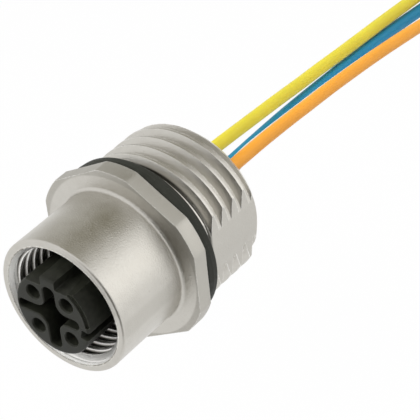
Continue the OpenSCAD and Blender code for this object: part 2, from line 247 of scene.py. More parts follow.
def sweep(name, line, ring, sizes, smooth=40):
    """A closed tube: ring holds (across, up) points, sizes a factor for each ring."""
    verts, along, side = [], [0.0], None
    for i, p in enumerate(line):
        ahead = (line[min(i + 1, len(line) - 1)] - line[max(i - 1, 0)]).normalized()
        if side is None:
            side = ahead.cross(Vector((0, 0, 1)) if abs(ahead.z) < 0.9 else Vector((1, 0, 0)))
        side = (side - ahead * side.dot(ahead)).normalized()
        up = side.cross(ahead)
        verts += [p + (side * a + up * b) * sizes[i] for a, b in ring]
        if i:
            along.append(along[-1] + (p - line[i - 1]).length)
    n = len(ring)
    obj = mesh_object(name, verts, walls(len(line), n), smooth)
    uv = obj.data.uv_layers.new(name="along")
    for loop in obj.data.loops:
        i, k = divmod(loop.vertex_index, n)
        uv.data[loop.index].uv = (k / n, along[i] / (n * UV_LENGTH))
    return obj


leads = {}
for colour, line in lead_lines.items():
    # the knife rounds the covering's last tenths of a millimetre
    line = line[:-1] + [line[-1].lerp(line[-2], 0.25), line[-1].lerp(line[-2], 0.08), line[-1]]
    sizes = [1] * (len(line) - 3) + [1, 0.97, 0.88]
    leads[colour] = sweep("lead_" + colour + "_cover", line, round_ring(LEAD_D / 2, 24), sizes)
tell(*leads.values())

# %% [markdown]
# ## The stripped ends
#
# The covering is stripped for 4 mm and shows seven tinned copper strands with
# a slight lay. A star-shaped profile that turns as it goes along gives the
# grooves of such a bundle in a single mesh, so a small tree of Geometry Nodes
# does it: resample the line, tilt it by its length, sweep a rounded star.
# Trees for shapes and for finishes are both written with one builder.

# %% A builder for node trees
class Nodes:
    """A node tree that grows by short calls, which give back output sockets."""

    def __init__(self, tree):
        self.tree = tree

    def put(self, value, socket):
        """Links an output to this input, or sets the input to a plain value."""
        if isinstance(value, bpy.types.NodeSocket):
            self.tree.links.new(value, socket)
        else:
            socket.default_value = value

    def add(self, kind, links=None, output=0, **settings):
        """A new node's output, by number or name. With None, all its outputs."""
        node = self.tree.nodes.new(kind)
        for key, value in settings.items():
            setattr(node, key, value)
        for key, value in (links or {}).items():
            self.put(value, node.inputs[key])
        return node.outputs if output is None else node.outputs[output]

    def geo(self, kind, *links, **settings):
        return self.add("GeometryNode" + kind, *links, **settings)

    def maths(self, operation, first, second):
        return self.add("ShaderNodeMath", {0: first, 1: second}, operation=operation)

    def times(self, first, second):
        return self.maths("MULTIPLY", first, second)


class Group(Nodes):
    """A node group: given holds its inputs to link from, result its outputs to link to."""

    def __init__(self, kind, name, inputs, outputs):
        super().__init__(bpy.data.node_groups.new(name, kind + "NodeTree"))
        form = "NodeSocketGeometry" if kind == "Geometry" else "NodeSocketFloat"
        face = self.tree.interface
        for label in outputs:
            face.new_socket(label, in_out="OUTPUT", socket_type=form)
        for label, form, value in inputs:
            socket = face.new_socket(label, in_out="INPUT", socket_type="NodeSocket" + form)
            if value is not None:
                socket.default_value = value
        self.given = self.tree.nodes.new("NodeGroupInput").outputs
        self.result = self.tree.nodes.new("NodeGroupOutput").inputs

    def hand_over(self, shape):
        """The end of a tree of shapes: its instances are made real and get their finish."""
        real = self.geo("RealizeInstances", {"Geometry": shape})
        self.put(self.geo("SetMaterial", {"Geometry": real, "Material": self.given["Finish"]}),
                 self.result[0])


def grown(name, group, values, verts=(), edges=(), smooth=30):
    """Runs a tree on a small mesh and keeps the result as a plain mesh object."""
    seed = bpy.data.meshes.new(name + "_seed")
    seed.from_pydata([Vector(v) * MM for v in verts], edges, [])
    obj = linked(name, seed)
    modifier = obj.modifiers.new("grow", "NODES")
    modifier.node_group = group.tree
    for item in group.tree.interface.items_tree:
        if item.item_type == "SOCKET" and item.in_out == "INPUT" and item.name in values:
            modifier[item.identifier] = values[item.name]
    settle(obj, smooth)
    bpy.data.meshes.remove(seed)
    outwards(obj)
    return obj


def settle(obj, smooth=None):
    """Applies an object's modifiers and leaves a plain mesh."""
    mesh = bpy.data.meshes.new_from_object(
        obj.evaluated_get(bpy.context.evaluated_depsgraph_get()))
    obj.modifiers.clear()
    obj.data = mesh
    if smooth:
        crisp(obj, smooth)


print("tree builder ready")

# %% The twisted strand tree
strand = Group("Geometry", "twisted_strand", [
    ("Line", "Geometry", None), ("Diameter", "Float", 0.65 * MM), ("Strands", "Int", 7),
    ("Lay", "Float", 7 * MM), ("Finish", "Material", None)], ["Geometry"])
given = strand.given
curve = strand.geo("MeshToCurve", {"Mesh": given["Line"]})
even = strand.geo("ResampleCurve", {"Curve": curve, "Count": 40})
lays = strand.maths("DIVIDE", strand.geo("SplineParameter", output="Length"), given["Lay"])
tilted = strand.geo("SetCurveTilt", {"Curve": even, "Tilt": strand.times(lays, 2 * math.pi)})
star = strand.geo("CurveStar", {
    "Points": given["Strands"], "Inner Radius": strand.times(given["Diameter"], 0.36),
    "Outer Radius": strand.times(given["Diameter"], 0.5)})
soft_star = strand.geo("FilletCurve", {
    "Curve": star, "Count": 3, "Radius": 0.06 * MM, "Limit Radius": True}, mode="POLY")
strand.hand_over(strand.geo("CurveToMesh", {
    "Curve": tilted, "Profile Curve": soft_star, "Fill Caps": True}))
print("strand tree of", len(strand.tree.nodes), "nodes")

# %% The four stripped ends carry the coil's curve on, and bend inwards
BARE_LEN, BENT_LEN, BEND_R, STRIDE = 4.0, 3.0, 4.6, 0.25
bare_ends = {}
for colour, line in lead_lines.items():
    start = line[-1]
    heading = math.atan2(line[-1].z - line[-2].z, line[-1].y - line[-2].y)
    points, here, run = [start + (line[-2] - start) * 0.8], start.copy(), 0.0
    while run < BARE_LEN:
        points.append(here.copy())
        here = here + Vector((0, math.cos(heading), math.sin(heading))) * STRIDE
        heading -= STRIDE / BEND_R if run < BENT_LEN else 0
        run += STRIDE
    bare_ends[colour] = grown("bare_strand_" + colour, strand, {},
                              points, [(i, i + 1) for i in range(len(points) - 1)], 25)
tell(*bare_ends.values())

# %% Each lead's covering and stripped end go on the root body, and their solids are hidden
for colour, cover in leads.items():
    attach(cover, "root")
    extra = ["lead_coil"] if colour == "yellow" else []
    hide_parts("lead_" + colour, *extra)
    end = bare_ends[colour]
    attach(end, "root")
    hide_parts("bare_end_" + colour)

# %% [markdown]
# ## The cable tie
#
# A black nylon tie goes round the bottom of the coil. Its band is a flat strip
# that bends round four corners, so it lies between two rounded loops. The
# locking head is a small block with a slot, and the cut tail stands up in it.

# %% The band
TIE_W, TIE_T, TIE_EDGE = 2.5, 0.7, 0.12
LEADS_W = 3 * COIL_PITCH + LEAD_D
loop_low = COIL_MIDDLE.z - COIL_OUTER - LEAD_D / 2
loop_high = COIL_MIDDLE.z - COIL_INNER + LEAD_D / 2 + 0.19


def tie_loop(extra, r):
    """A closed rounded rectangle round the leads, as a list of points (x, z)."""
    x0, x1 = COIL_MIDDLE.x - LEADS_W / 2 - extra, COIL_MIDDLE.x + LEADS_W / 2 + extra
    z0, z1 = loop_low - extra, loop_high + extra
    return (arc(x1 - r, z0 + r, r, -90, 0, 6) + arc(x1 - r, z1 - r, r, 0, 90, 6)
            + arc(x0 + r, z1 - r, r, 90, 180, 6) + arc(x0 + r, z0 + r, r, 180, 270, 6))


tie_in, tie_out = tie_loop(0, 0.6), tie_loop(TIE_T, 1.3)
verts = []
for y, t in ((-TIE_W / 2, 0.0), (-TIE_W / 2, 0.7), (-TIE_W / 2 + TIE_EDGE, 1.0),
             (TIE_W / 2 - TIE_EDGE, 1.0), (TIE_W / 2, 0.7), (TIE_W / 2, 0.0)):
    verts += [(a[0] + (b[0] - a[0]) * t, COIL_MIDDLE.y + y, a[1] + (b[1] - a[1]) * t)
              for a, b in zip(tie_in, tie_out)]
tie_band = mesh_object("tie_band", verts, walls(6, len(tie_in), closed=True), 35)
tell(tie_band)

# %% [markdown]
# The head and the cut tail: the tail has a row of small teeth, which the catch
# in the head grips. Teeth repeat, so a tree sets one on each point of a line.

# %% Boxes with softened edges, and one solid cut by another
def soft_box(name, low, high, edge, steps=3):
    verts = [(x, y, z) for x in (low[0], high[0]) for y in (low[1], high[1])
             for z in (low[2], high[2])]
    faces = [(0, 1, 3, 2), (4, 6, 7, 5), (0, 4, 5, 1), (2, 3, 7, 6), (0, 2, 6, 4), (1, 5, 7, 3)]
    obj = mesh_object(name, verts, faces)
    bevel = obj.modifiers.new("edges", "BEVEL")
    bevel.width, bevel.segments, bevel.limit_method = edge * MM, steps, "NONE"
    settle(obj, 50)
    return obj


def cut(obj, tool, how="DIFFERENCE"):
    """One Boolean step with the manifold solver, which uses the tool up."""
    step = obj.modifiers.new(how, "BOOLEAN")
    step.object, step.operation, step.solver = tool, how, "MANIFOLD"
    before = len(obj.data.vertices)
    settle(obj)
    bpy.data.objects.remove(tool)
    if len(obj.data.vertices) in (0, before):
        print("check the cut on", obj.name)


def block(name, low, high, edge):
    """A soft box beside the head: x from the band's side, y and z from the head's middle."""
    origin = Vector((head_x, COIL_MIDDLE.y, head_z))
    return soft_box(name, origin + Vector(low), origin + Vector(high), edge)


head_x = COIL_MIDDLE.x + LEADS_W / 2 + TIE_T
head_z = (loop_low + loop_high) / 2
tie_head = block("tie_head", (-0.05, -2, -1.75), (2.25, 2, 1.75), 0.35)
cut(tie_head, block("slot", (0.55, -1.35, -2.5), (1.75, 1.35, 2.5), 0.1))
crisp(tie_head, 40)
tell(tie_head)

# %% The tail with its teeth
teeth = Group("Geometry", "tie_teeth", [
    ("Count", "Int", 9), ("Start", "Vector", (0, 0, 0)), ("Pitch", "Float", 0.5 * MM),
    ("Tooth", "Vector", (0.16 * MM, 1.7 * MM, 0.22 * MM)), ("Finish", "Material", None)],
    ["Geometry"])
pitch = teeth.add("ShaderNodeCombineXYZ", {"Z": teeth.given["Pitch"]})
places = teeth.geo("MeshLine", {
    "Count": teeth.given["Count"], "Start Location": teeth.given["Start"], "Offset": pitch})
tooth = teeth.geo("MeshCube", {"Size": teeth.given["Tooth"]})
teeth.hand_over(teeth.geo("InstanceOnPoints", {"Points": places, "Instance": tooth}))

TAIL_X = 0.85
tie_tail = block("tie_tail", (TAIL_X, -1.2, -2.3), (TAIL_X + 0.6, 1.2, 3.4), 0.12)
first_tooth = Vector((head_x + TAIL_X + 0.62, COIL_MIDDLE.y, head_z - 2.0)) * MM
tie_teeth = grown("tie_teeth", teeth, {"Start": first_tooth[:], "Count": 10})
tie = (tie_band, tie_head, tie_tail, tie_teeth)
for piece in tie:
    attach(piece, "root")
    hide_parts("coil_tie")
tell(tie_tail, tie_teeth)

# %% [markdown]
# ## The turned housing
#
# The shell is one piece of brass: a smooth barrel with a thread inside it, a
# six-sided flange, and a screw thread with a milled flat behind it. A lathe
# outline gives nearly all of it. Here every ring of the outline has the same
# number of points, and a ring on the flange follows six flats with rounded
# corners instead of a circle, so the flange needs no cutting at all.

# %% Rings of one outline, with the flange's six flats
SEGMENTS = 240
FLANGE_R, FLANGE_FLAT, FLANGE_EDGE = 9.0, 8.5, 0.06


def off_flat(angle):
    """How far an angle is from the middle of the nearest flat."""
    return (angle + 30) % 60 - 30


corner = math.degrees(math.acos(FLANGE_FLAT / FLANGE_R))
ring_angles = []
for k in range(SEGMENTS):
    a = 360 * k / SEGMENTS
    if abs(abs(off_flat(a)) - corner) <= 180 / SEGMENTS:
        a += math.copysign(corner, off_flat(a)) - off_flat(a)
    ring_angles.append(a)


def flats(inset):
    """The flange's outline: flats at 0, 60, 120 ... degrees, arcs between them."""
    return lambda a: min((FLANGE_FLAT - inset) / math.cos(math.radians(off_flat(a))),
                         FLANGE_R - inset)


def lathed(name, rings, angles, middle=(0, 0), closed=False, smooth=30):
    """A solid of rings (radius, y) about an axis along Y. angles may be a plain count.

    A radius may be a rule by angle. A closed shell joins its last ring to its first."""
    if isinstance(angles, int):
        angles = [360 * k / angles for k in range(angles)]
    verts = []
    for radius, y in rings:
        for a in angles:
            x, z = polar(radius(a) if callable(radius) else radius, a)
            verts.append((middle[0] + x, y, middle[1] + z))
    return mesh_object(name, verts, walls(len(rings), len(angles), closed), smooth)


print("flange corners", round(corner, 2), "degrees from the middle of each flat")

# %% The shell without its threads
MOUTH, FLANGE_Y, SEAT, REAR = -11.4, -3.1, -1.5, 8.1
GAP_FLOOR, BASE_Y = -4.4, -2.4
THREAD_R, THREAD_ROOT, TAP_R = 7.95, 7.2, 5.54
UNDERCUT_R, REAR_BORE_R, MIDDLE_BORE_R, RELIEF_R = 7.0, 6.15, 5.30, 6.05
rings = (arc(6.60, MOUTH + 0.25, 0.25, -90, 0, 6)               # rim
         + arc(7.20, FLANGE_Y - 0.35, 0.35, 180, 90, 8))        # fillet into the flange
edge_turns = [polar(FLANGE_EDGE, a) for a in (0, 30, 60, 90)]
rings += [(flats(FLANGE_EDGE - z), FLANGE_Y + FLANGE_EDGE - x) for x, z in edge_turns]
rings += [(flats(FLANGE_EDGE - x), SEAT - FLANGE_EDGE + z) for x, z in edge_turns]
rings += [
    (UNDERCUT_R, SEAT), (UNDERCUT_R, -0.1), (THREAD_ROOT, 0.1), (THREAD_ROOT, REAR - 0.35),
    (6.93, REAR - 0.08), (6.85, REAR), (6.27, REAR), (REAR_BORE_R, REAR - 0.12),
    (REAR_BORE_R, BASE_Y), (MIDDLE_BORE_R, BASE_Y), (MIDDLE_BORE_R, GAP_FLOOR),
    (RELIEF_R, GAP_FLOOR), (RELIEF_R, -5.1), (TAP_R, -5.40), (TAP_R, -10.58),
    (6.11, -11.37), (6.155, -11.29), (6.2, MOUTH)]              # countersink and its groove
housing = lathed("housing_turned", rings, ring_angles, closed=True)
tell(housing)

# %% [markdown]
# ### Screw threads
#
# A thread is a ridge with a trapezoid section that climbs along a spiral. The
# same tree of Geometry Nodes makes both threads: the ridge that is added behind
# the flange, and the one that is taken out of the barrel's wall. Its inputs are
# the sizes that a thread table gives.

# %% The screw thread tree
FLANK_ANGLE = 30
screw = Group("Geometry", "screw_thread", [
    ("Pitch", "Float", 1.5 * MM), ("Turns", "Float", 7.0), ("Start", "Float", 0.0),
    ("Foot Radius", "Float", 7 * MM), ("Crest Radius", "Float", 8 * MM),
    ("Crest Width", "Float", 0.2 * MM), ("Edge", "Float", 0.03 * MM),
    ("Finish", "Material", None)], ["Geometry"])
given = screw.given
foot, crest, crest_width = given["Foot Radius"], given["Crest Radius"], given["Crest Width"]
height = screw.maths("SUBTRACT", crest, foot)
middle = screw.times(screw.maths("ADD", crest, foot), 0.5)
flanks = screw.times(height, 2 * math.tan(math.radians(FLANK_ANGLE)))
spiral = screw.geo("CurveSpiral", {
    "Resolution": 120, "Rotations": given["Turns"], "Start Radius": middle,
    "End Radius": middle, "Height": screw.times(given["Pitch"], given["Turns"]), "Reverse": True})
upright = screw.geo("SetCurveNormal", {"Curve": spiral}, mode="Z_UP")
section = screw.geo("CurvePrimitiveQuadrilateral", {
    "Height": height, "Bottom Width": screw.maths("ADD", flanks, crest_width),
    "Top Width": crest_width, "Offset": 0.0}, mode="TRAPEZOID")
turned_section = screw.geo("Transform", {
    "Geometry": section, "Rotation": (0, 0, -math.pi / 2)})
rounded = screw.geo("FilletCurve", {
    "Curve": turned_section, "Count": 2, "Radius": given["Edge"], "Limit Radius": True},
    mode="POLY")
ridge = screw.geo("CurveToMesh", {
    "Curve": upright, "Profile Curve": rounded, "Fill Caps": True})
lift = screw.add("ShaderNodeCombineXYZ", {"Y": given["Start"]})
screw.hand_over(screw.geo("Transform", {
    "Geometry": ridge, "Translation": lift, "Rotation": (-math.pi / 2, 0, 0)}))
print("thread tree of", len(screw.tree.nodes), "nodes")

# %% The ridge behind the flange, trimmed at both ends
PANEL_PITCH, FIRST_CREST = 1.5, 0.47
ridge_out = grown("ridge_out", screw, {
    "Pitch": PANEL_PITCH * MM, "Turns": 7.0, "Start": (FIRST_CREST - PANEL_PITCH) * MM,
    "Foot Radius": 7.05 * MM, "Crest Radius": THREAD_R * MM, "Crest Width": 0.25 * MM,
    "Edge": 0.05 * MM})
limit = lathed("limit", [
    (6.7, -0.25), (6.75, -0.25), (8.2, 0.3), (8.2, 6.75), (6.85, REAR), (6.7, REAR)],
    SEGMENTS, closed=True)
cut(ridge_out, limit, "INTERSECT")
cut(housing, ridge_out, "UNION")
tell(housing)

# %% The thread inside the barrel, cut with the same tree
cut(housing, grown("tap", screw, {
    "Pitch": 1.0 * MM, "Turns": 7.6, "Start": -12.341 * MM, "Foot Radius": 5.3 * MM,
    "Crest Radius": 6.0 * MM, "Crest Width": 0.07 * MM, "Edge": 0.02 * MM}))
tell(housing)

# %% The flat milled along the thread
MILLED_X = 6.95
cut(housing, soft_box("mill", (MILLED_X, 0.0, -9), (9.5, 9.5, 9), 0.02, 1))
crisp(housing, 24)
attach(housing, "root")
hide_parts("housing")
tell(housing)

# %% [markdown]
# ## The contact carrier
#
# The insert is moulded in black plastic. Its front stands in the barrel like a
# post, which the plug slides over. A key at the top, between two flats, and a
# keyway in its side let the plug in only one way round, and a cross-shaped
# recess leaves a land round each hole. Each feature is cut with its own tool,
# whose lip flares a little, as a mould's edges do.

# %% Tools for cutting: flat outlines with a flared lip
def grow_outline(points, amount):
    """Moves each side of a closed outline outwards (counterclockwise points)."""
    moved, n = [], len(points)
    for i in range(n):
        a, b, c = points[i - 1], points[i], points[(i + 1) % n]
        d1 = Vector((b[0] - a[0], b[1] - a[1])).normalized()
        d2 = Vector((c[0] - b[0], c[1] - b[1])).normalized()
        n1, n2 = Vector((d1.y, -d1.x)), Vector((d2.y, -d2.x))
        m = (n1 + n2).normalized()
        m *= amount / max(m.dot(n1), 0.5)
        moved.append((b[0] + m.x, b[1] + m.y))
    return moved


def prism(name, outline, stations):
    """A solid from an outline in X and Z: stations are (y, growth) from front to back."""
    verts = []
    for y, amount in stations:
        verts += [(x, y, z) for x, z in grow_outline(outline, amount)]
    return mesh_object(name, verts, walls(len(stations), len(outline)))


def lip(top, bottom, flare):
    """Stations of a tool that enters at top and reaches down to bottom."""
    return [(top - 0.2, flare), (top, flare), (top + 0.03, flare * 0.45),
            (top + 0.09, 0.0), (bottom, 0.0)]


def rotated(points, degrees):
    c, s = polar(1, degrees)
    return [(x * c - z * s, x * s + z * c) for x, z in points]


print("cutting tools defined")

# %% The post, its collar and its base
FACE, CARRIER_END = -12.75, -1.0
POST_R, COLLAR_R, GROOVE_R, BASE_R = 4.05, 5.25, 4.45, 6.1
carrier = lathed("carrier_moulded", [
    (3.8, FACE), (3.9, FACE + 0.01), (3.98, FACE + 0.05), (4.03, FACE + 0.12),
    (POST_R, FACE + 0.2), (POST_R, GAP_FLOOR - 0.15), (4.1, GAP_FLOOR - 0.04), (4.2, GAP_FLOOR),
    (COLLAR_R, GAP_FLOOR), (COLLAR_R, -3.9), (GROOVE_R, -3.9), (GROOVE_R, -2.9),
    (COLLAR_R, -2.9), (COLLAR_R, BASE_Y), (BASE_R, BASE_Y), (BASE_R, CARRIER_END)], 144)
tell(carrier)

# %% [markdown]
# The cross comes from four reaches, two widths and one corner radius. Its arms
# towards the key and the side keyway are short, and its corners follow the
# round lands of the holes.

# %% The cross
REACHES, HALF_WIDTHS = (3.05, 3.05, 3.78, 3.52), (0.5, 0.64)    # towards +X, +Z, -X, -Z
LAND_R, CROSS_SHIFT, CROSS_DEPTH = 1.05, -0.06, 2.2
cross = []
for arm, reach in enumerate(REACHES):
    w, other = HALF_WIDTHS[arm % 2], HALF_WIDTHS[(arm + 1) % 2]
    end = 0.85 * w
    cross += rotated(arc(reach - end, -w + end, end, -90, 0, 6)
                     + arc(reach - end, w - end, end, 0, 90, 6)
                     + arc(other + LAND_R, w + LAND_R, LAND_R, -90, -180, 10), 90 * arm)
cross = [(x + CROSS_SHIFT, z) for x, z in cross]
cut(carrier, prism("cross", cross, lip(FACE, FACE + CROSS_DEPTH, 0.1)))
print("cross of", len(cross), "points")

# %% The key between its flats, the side keyway, and the step between them
KEY_HALF_W, FLAT_Z, FLAT_CORNER = 0.8, 3.1, 0.1
SLOT_HALF_W, SLOT_FLOOR_R, SLOT_CORNER, SLOT_TURN = 0.45, 3.25, 0.12, -12
BEYOND = 5.0
right_flat = ([(BEYOND, BEYOND), (KEY_HALF_W, BEYOND)]
              + arc(KEY_HALF_W + FLAT_CORNER, FLAT_Z + FLAT_CORNER, FLAT_CORNER, 180, 270, 4)
              + [(BEYOND, FLAT_Z)])
left_flat = [(-x, z) for x, z in right_flat[::-1]]
for outline in (right_flat, left_flat):
    cut(carrier, prism("key_flat", outline, lip(FACE, GAP_FLOOR - 0.02, 0.05)))
w, c, floor_r = SLOT_HALF_W, SLOT_CORNER, SLOT_FLOOR_R
slot = ([(BEYOND, -w), (BEYOND, w)] + arc(floor_r + c, w - c, c, 90, 180, 4)
        + arc(floor_r + c, -w + c, c, -180, -90, 4))
cut(carrier, prism("key_side", rotated(slot, SLOT_TURN), lip(FACE, GAP_FLOOR - 0.02, 0.06)))
step_edge = arc(0, 0, 4.4, 2, 64, 20) + arc(0, 0, 3.75, 64, 2, 20)
cut(carrier, prism("step", step_edge, [(FACE - 0.2, 0), (FACE + 0.25, 0)]))
print("key, side keyway and step")

# %% The four holes: a funnel, the pin's bore, and the socket's seat behind it
PIN_BORE_R, SOCKET_BORE_R, SOCKET_HEAD_R = 0.525, 0.815, 1.065
for angle in POLE_TURN.values():
    cut(carrier, lathed("hole", [
        (0.82, FACE - 0.2), (0.82, FACE), (0.78, FACE + 0.03), (0.71, FACE + 0.14),
        (0.68, FACE + 0.6), (0.55, FACE + 0.9), (PIN_BORE_R, FACE + 1.0),
        (PIN_BORE_R, FACE + 1.2), (SOCKET_BORE_R, FACE + 1.2), (SOCKET_BORE_R, -1.6),
        (SOCKET_HEAD_R, -1.6), (SOCKET_HEAD_R, CARRIER_END + 0.2)], 48, polar(POLE_R, angle)))
crisp(carrier, 28)
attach(carrier, "root")
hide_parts("contact_carrier")
tell(carrier)

# %% [markdown]
# ## The panel seal
#
# A moulded rubber ring of nearly square section lies against the flange. Under
# the nut's load its rim bulges a little, and a thin line of flash runs round
# the middle of it, where the two halves of its mould met.

# %% The ring with its bulge and flash line
SEAL_R, SEAL_HALF, SEAL_EDGE, SEAL_BULGE, FLASH = 8.5, 0.75, 0.2, 0.06, 0.025
front, back = SEAT / 2 - SEAL_HALF, SEAT / 2 + SEAL_HALF
rings = [(8.2, front)]
for k in range(15):
    y = -SEAL_HALF + 0.04 + (2 * SEAL_HALF - 0.08) * k / 14
    rounding = max(0.0, abs(y) - (SEAL_HALF - SEAL_EDGE)) / SEAL_EDGE
    r = SEAL_R - SEAL_BULGE * (y / SEAL_HALF) ** 2
    r -= SEAL_EDGE * (1 - math.sqrt(max(0.0, 1 - rounding**2)))
    rings.append((r + FLASH * math.exp(-(y / 0.035) ** 2), y + SEAT / 2))
rings += [(8.2, back), (7.2, back), (7.05, back - 0.15), (7.05, front + 0.15), (7.2, front)]
seal = lathed("seal_ring", rings, 144, closed=True, smooth=40)
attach(seal, "root")
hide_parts("panel_seal")
tell(seal)

# %% [markdown]
# ## The potting
#
# The rear is filled with black casting resin. While it is liquid it creeps up
# the wall and up each lead. The surface is a grid of rings whose height follows
# those distances, closed with a wall and a floor.

# %% Resin with its meniscus
RESIN_R, RESIN_Y, RESIN_FLOOR = 6.1, 4.25, 0.41
RADII, AROUND = 44, 144
poles = [polar(POLE_R, a) for a in POLE_TURN.values()]


def resin_height(x, z):
    height = RESIN_Y + 0.32 * math.exp(-(RESIN_R - math.hypot(x, z)) / 0.35)
    for pole_x, pole_z in poles:
        away = math.hypot(x - pole_x, z - pole_z) - LEAD_D / 2
        height += 0.38 * math.exp(-max(away, 0) / 0.28)
    return height + 0.03 * math.sin(1.7 * x + 0.6) * math.cos(1.3 * z)


verts = []
for i in range(1, RADII + 1):
    verts += [(x, resin_height(x, z), z) for x, z in round_ring(RESIN_R * i / RADII, AROUND)]
verts += [(x, RESIN_FLOOR, z) for x, z in round_ring(RESIN_R, AROUND)]
*rings_of_faces, top, floor = walls(RADII + 1, AROUND)
middle = len(verts)
verts.append((0, resin_height(0, 0), 0))
fan = [(middle, k, (k + 1) % AROUND) for k in range(AROUND)]
resin = mesh_object("potting_resin", verts, [*rings_of_faces, floor, *fan], 60)
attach(resin, "root")
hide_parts("potting")
tell(resin)

# %% [markdown]
# # Materials
#
# Four effects come back in several finishes, so each is a node group: a fine
# grain, the marks of a lathe, wear on edges that also carries a painted edge
# highlight, and a scatter of specks. A group gives out masks and heights only.
# The shader stays in each material.

# %% A builder for masks
class Masks(Nodes):
    """The steps that turn places and noises into masks from 0 to 1."""

    def spread(self, value, from_low, from_high, to_low=0.0, to_high=1.0):
        return self.add("ShaderNodeMapRange", {
            "Value": value, "From Min": from_low, "From Max": from_high,
            "To Min": to_low, "To Max": to_high}, "Result", interpolation_type="SMOOTHSTEP")

    def between(self, value, rise, fall):
        """1 between two soft limits, which are given in millimetres."""
        return self.times(self.spread(value, rise[0] * MM, rise[1] * MM),
                          self.spread(value, fall[0] * MM, fall[1] * MM))

    def xyz(self, vector):
        return self.add("ShaderNodeSeparateXYZ", {"Vector": vector}, None)

    def from_axis(self, parts):
        """The distance from the connector's axis."""
        squares = [self.maths("POWER", parts[axis], 2.0) for axis in ("X", "Z")]
        return self.maths("POWER", self.maths("ADD", *squares), 0.5)

    def noise(self, vector, scale, detail, roughness=0.5):
        return self.add("ShaderNodeTexNoise", {
            "Vector": vector, "Scale": scale, "Detail": detail, "Roughness": roughness}, "Fac")

    def streaks(self, along, scale, detail):
        return self.add("ShaderNodeTexNoise", {
            "W": along, "Scale": scale, "Detail": detail}, "Fac", noise_dimensions="1D")


class Effect(Group, Masks):
    """A shader group that reads a place and gives out masks or heights."""

    def __init__(self, name, inputs, outputs):
        place = ("Vector", "Vector", None)
        super().__init__("Shader", name, [place] + [(k, "Float", v) for k, v in inputs], outputs)
        self.place = self.given["Vector"]


print("mask builder ready")

# %% Grain: two sizes of noise over each other, as blasting or a mould leaves
grain = Effect("grain", [("Size", 0.1 * MM)], ["Mask", "Height"])
count = grain.maths("DIVIDE", 1.0, grain.given["Size"])
broad = grain.noise(grain.place, grain.times(count, 0.14), 2.0)
grain.put(grain.spread(broad, 0.3, 0.7), grain.result["Mask"])
grain.put(grain.noise(grain.place, count, 4.0, 0.6), grain.result["Height"])

# %% Lathe marks: one-dimensional noise along the axis and outwards from it
lathe = Effect("lathe_marks", [("Feed", 0.1 * MM)], ["Height"])
parts = lathe.xyz(lathe.place)
travel = lathe.maths("ADD", lathe.from_axis(parts), parts["Y"])
feeds = lathe.maths("DIVIDE", travel, lathe.given["Feed"])
lathe.put(lathe.streaks(feeds, 1.0, 3.0), lathe.result["Height"])

# %% Edge wear and painted edge highlight: where a rounded normal leaves the true one, broken up by noise
wear_and_glint = Effect("edge_wear", [("Radius", 0.1 * MM), ("Break", 2500.0)], ["Mask"])
soft = wear_and_glint.add("ShaderNodeBevel", {"Radius": wear_and_glint.given["Radius"]}, samples=4)
true = wear_and_glint.add("ShaderNodeNewGeometry", output="Normal")
same = wear_and_glint.add("ShaderNodeVectorMath", {0: soft, 1: true}, "Value", operation="DOT_PRODUCT")
patches = wear_and_glint.noise(wear_and_glint.place, wear_and_glint.given["Break"], 3.0)
wear_and_glint.put(wear_and_glint.times(wear_and_glint.spread(same, 0.985, 0.88), wear_and_glint.spread(patches, 0.35, 0.6, 0.25, 1.0)),
         wear_and_glint.result["Mask"])

# %% Specks: the cells of a Voronoi pattern whose random value is low
specks = Effect("specks", [("Size", 0.2 * MM), ("Share", 0.05)], ["Mask"])
count = specks.maths("DIVIDE", 1.0, specks.given["Size"])
cells = specks.add("ShaderNodeTexVoronoi", {"Vector": specks.place, "Scale": count}, None)
tone = specks.add("ShaderNodeSeparateColor", {"Color": cells["Color"]})
rare = specks.maths("LESS_THAN", tone, specks.given["Share"])
specks.put(specks.times(rare, specks.spread(cells["Distance"], 0.32, 0.12)),
           specks.result["Mask"])
print("groups:", [g.name for g in bpy.data.node_groups])

# %% [markdown]
# A finish is one Principled BSDF with its fixed numbers on its own sockets.
# Masks lay coats of colour over each other and vary the roughness.

# %% One finish: coats of colour, roughness and bumps
class Finish(Masks):
    def __init__(self, name, **fixed):
        self.material = bpy.data.materials.new(name)
        self.material.use_nodes = True
        super().__init__(self.material.node_tree)
        self.shader = self.tree.nodes["Principled BSDF"].inputs
        for key, value in fixed.items():
            self.shader[key.replace("_", " ")].default_value = value
        self.place = self.add("ShaderNodeTexCoord", output="Object")

    def use(self, effect, **values):
        return self.add("ShaderNodeGroup", {"Vector": self.place, **values}, None,
                        node_tree=effect.tree)

    def specked(self, size, share):
        return self.use(specks, Size=size, Share=share)["Mask"]

    def paint(self, colour, *coats):
        """Each coat is a mask, its colour, and how much of the mask counts."""
        colour = (*colour, 1)
        for mask, coat, share in coats:
            mask = mask if share == 1 else self.times(mask, share)
            colour = self.add("ShaderNodeMix", {0: mask, 6: colour, 7: (*coat, 1)}, 2,
                              data_type="RGBA")
        self.put(colour, self.shader["Base Color"])

    def rough(self, mask, low, high):
        self.put(self.spread(mask, 0.0, 1.0, low, high), self.shader["Roughness"])

    def bump(self, *heights):
        """Each height comes with its depth, and has a Bump node after the one before."""
        links = {}
        for height, depth in heights:
            links.update({"Strength": 1.0, "Distance": depth, "Height": height})
            links["Normal"] = self.add("ShaderNodeBump", links)
        self.put(links["Normal"], self.shader["Normal"])


print("finish builder ready")
